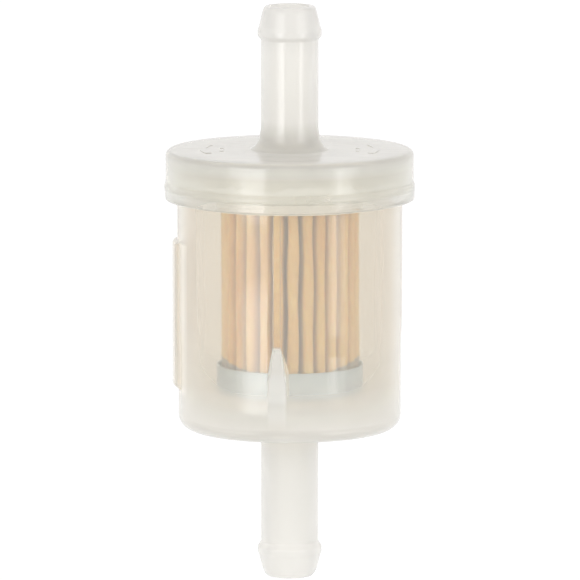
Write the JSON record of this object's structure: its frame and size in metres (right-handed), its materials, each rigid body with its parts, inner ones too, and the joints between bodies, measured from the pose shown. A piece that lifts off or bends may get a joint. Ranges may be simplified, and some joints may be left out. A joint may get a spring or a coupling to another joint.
{
  "type": "inline fuel filter",
  "caption": "Small-engine inline fuel filter: round translucent plastic housing with a hose barb at each end and a pleated paper element in metal end caps inside.",
  "frame": {"origin": "centre of the inlet barb's end face, on the filter's axis, which is the bottom centre of the bounding box", "axes": "+Z along the filter's axis from the inlet barb to the outlet barb, -Y towards the front, -X towards the raised side pad"},
  "size_m": [0.0318, 0.0318, 0.073],
  "materials": {
    "housing": "natural translucent moulded nylon, milky, smooth gloss",
    "weld": "melted and re-set housing plastic, milky",
    "filter_paper": "resin-treated tan filter paper, matt, fibrous",
    "tinplate": "bright tin-plated drawn steel sheet",
    "potting": "set plastisol adhesive, satin"
  },
  "bodies": {
    "root": {"housing_bowl": "housing", "housing_lid": "housing", "weld_bead": "weld", "pleated_paper": "filter_paper", "lower_end_cap": "tinplate", "upper_end_cap": "tinplate", "lower_potting": "potting", "upper_potting": "potting", "seam_clip": "tinplate"}
  },
  "joints": []
}
